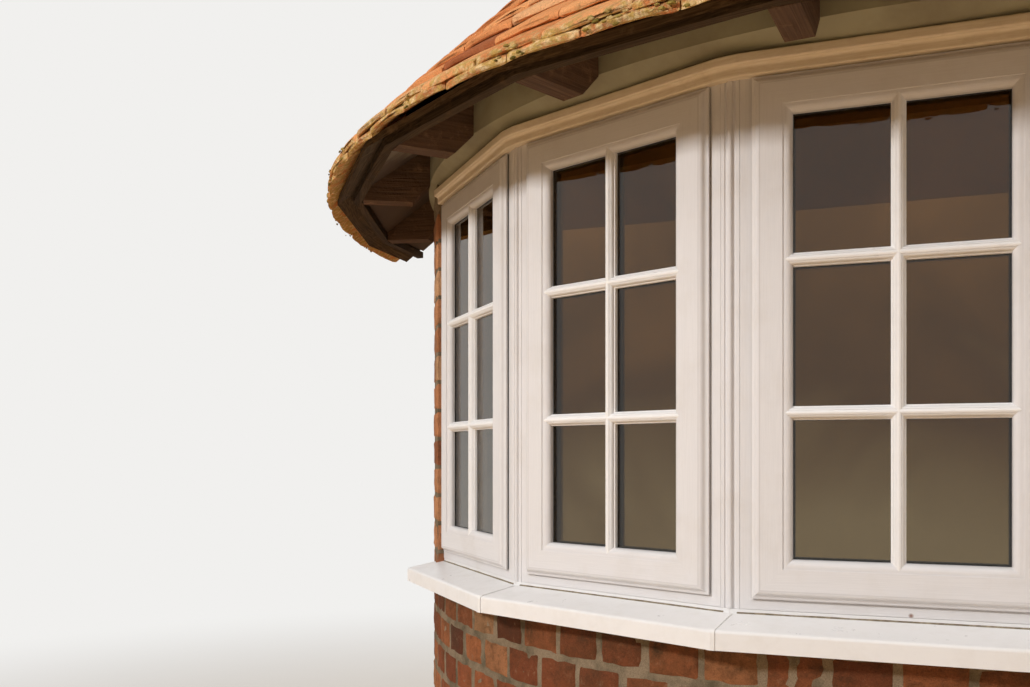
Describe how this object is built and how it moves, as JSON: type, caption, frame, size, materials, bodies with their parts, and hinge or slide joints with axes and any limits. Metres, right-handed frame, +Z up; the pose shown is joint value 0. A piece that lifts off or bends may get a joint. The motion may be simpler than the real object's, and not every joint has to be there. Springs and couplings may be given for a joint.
{
  "type": "bay window",
  "caption": "Half-round brick bay with faceted casement lights, moulded head, mitred cill and a clay-tiled half-cone roof.",
  "frame": {"origin": "on the ground, in the middle of the bounding box: the house wall plane is 0.82 m behind it", "axes": "+Z up, +Y into the house, so the centre light faces -Y; +X to the right seen from outside"},
  "size_m": [3.28, 1.6398, 3.603],
  "materials": {
    "brick": "matt",
    "render": "matt",
    "clay_tile": "matt",
    "window_plastic": "satin",
    "glass": "polished",
    "painted_wood": "satin paint",
    "stained_wood": "stained",
    "fascia_wood": "weathered",
    "sarking_wood": "sawn",
    "lead": "dull",
    "inner_plaster": "matt"
  },
  "bodies": {
    "root": {"apex_block": "stained_wood", "base_wall_centre": "brick", "base_wall_far_left": "brick", "base_wall_far_right": "brick", "base_wall_left": "brick", "base_wall_right": "brick", "ceiling": "inner_plaster", "cill": "window_plastic", "cill_joint_covers": "window_plastic", "couplers": "window_plastic", "fascia_boards": "fascia_wood", "frame_centre": "window_plastic", "frame_far_left": "window_plastic", "frame_far_right": "window_plastic", "frame_left": "window_plastic", "frame_right": "window_plastic", "frieze_centre": "render", "frieze_far_left": "render", "frieze_far_right": "render", "frieze_left": "render", "frieze_right": "render", "glass_units": "glass", "head_moulding": "painted_wood", "inner_plaster": "inner_plaster", "lead_flashing": "lead", "pier_left": "brick", "pier_right": "brick", "rafters_left": "stained_wood", "rafters_right": "stained_wood", "roof_tiles_centre": "clay_tile", "roof_tiles_far_left": "clay_tile", "roof_tiles_far_right": "clay_tile", "roof_tiles_left": "clay_tile", "roof_tiles_right": "clay_tile", "sarking": "sarking_wood", "sash_centre": "window_plastic", "sash_far_left": "window_plastic", "sash_far_right": "window_plastic", "sash_left": "window_plastic", "sash_right": "window_plastic", "soffit_panels": "render", "window_board": "painted_wood"}
  },
  "joints": []
}
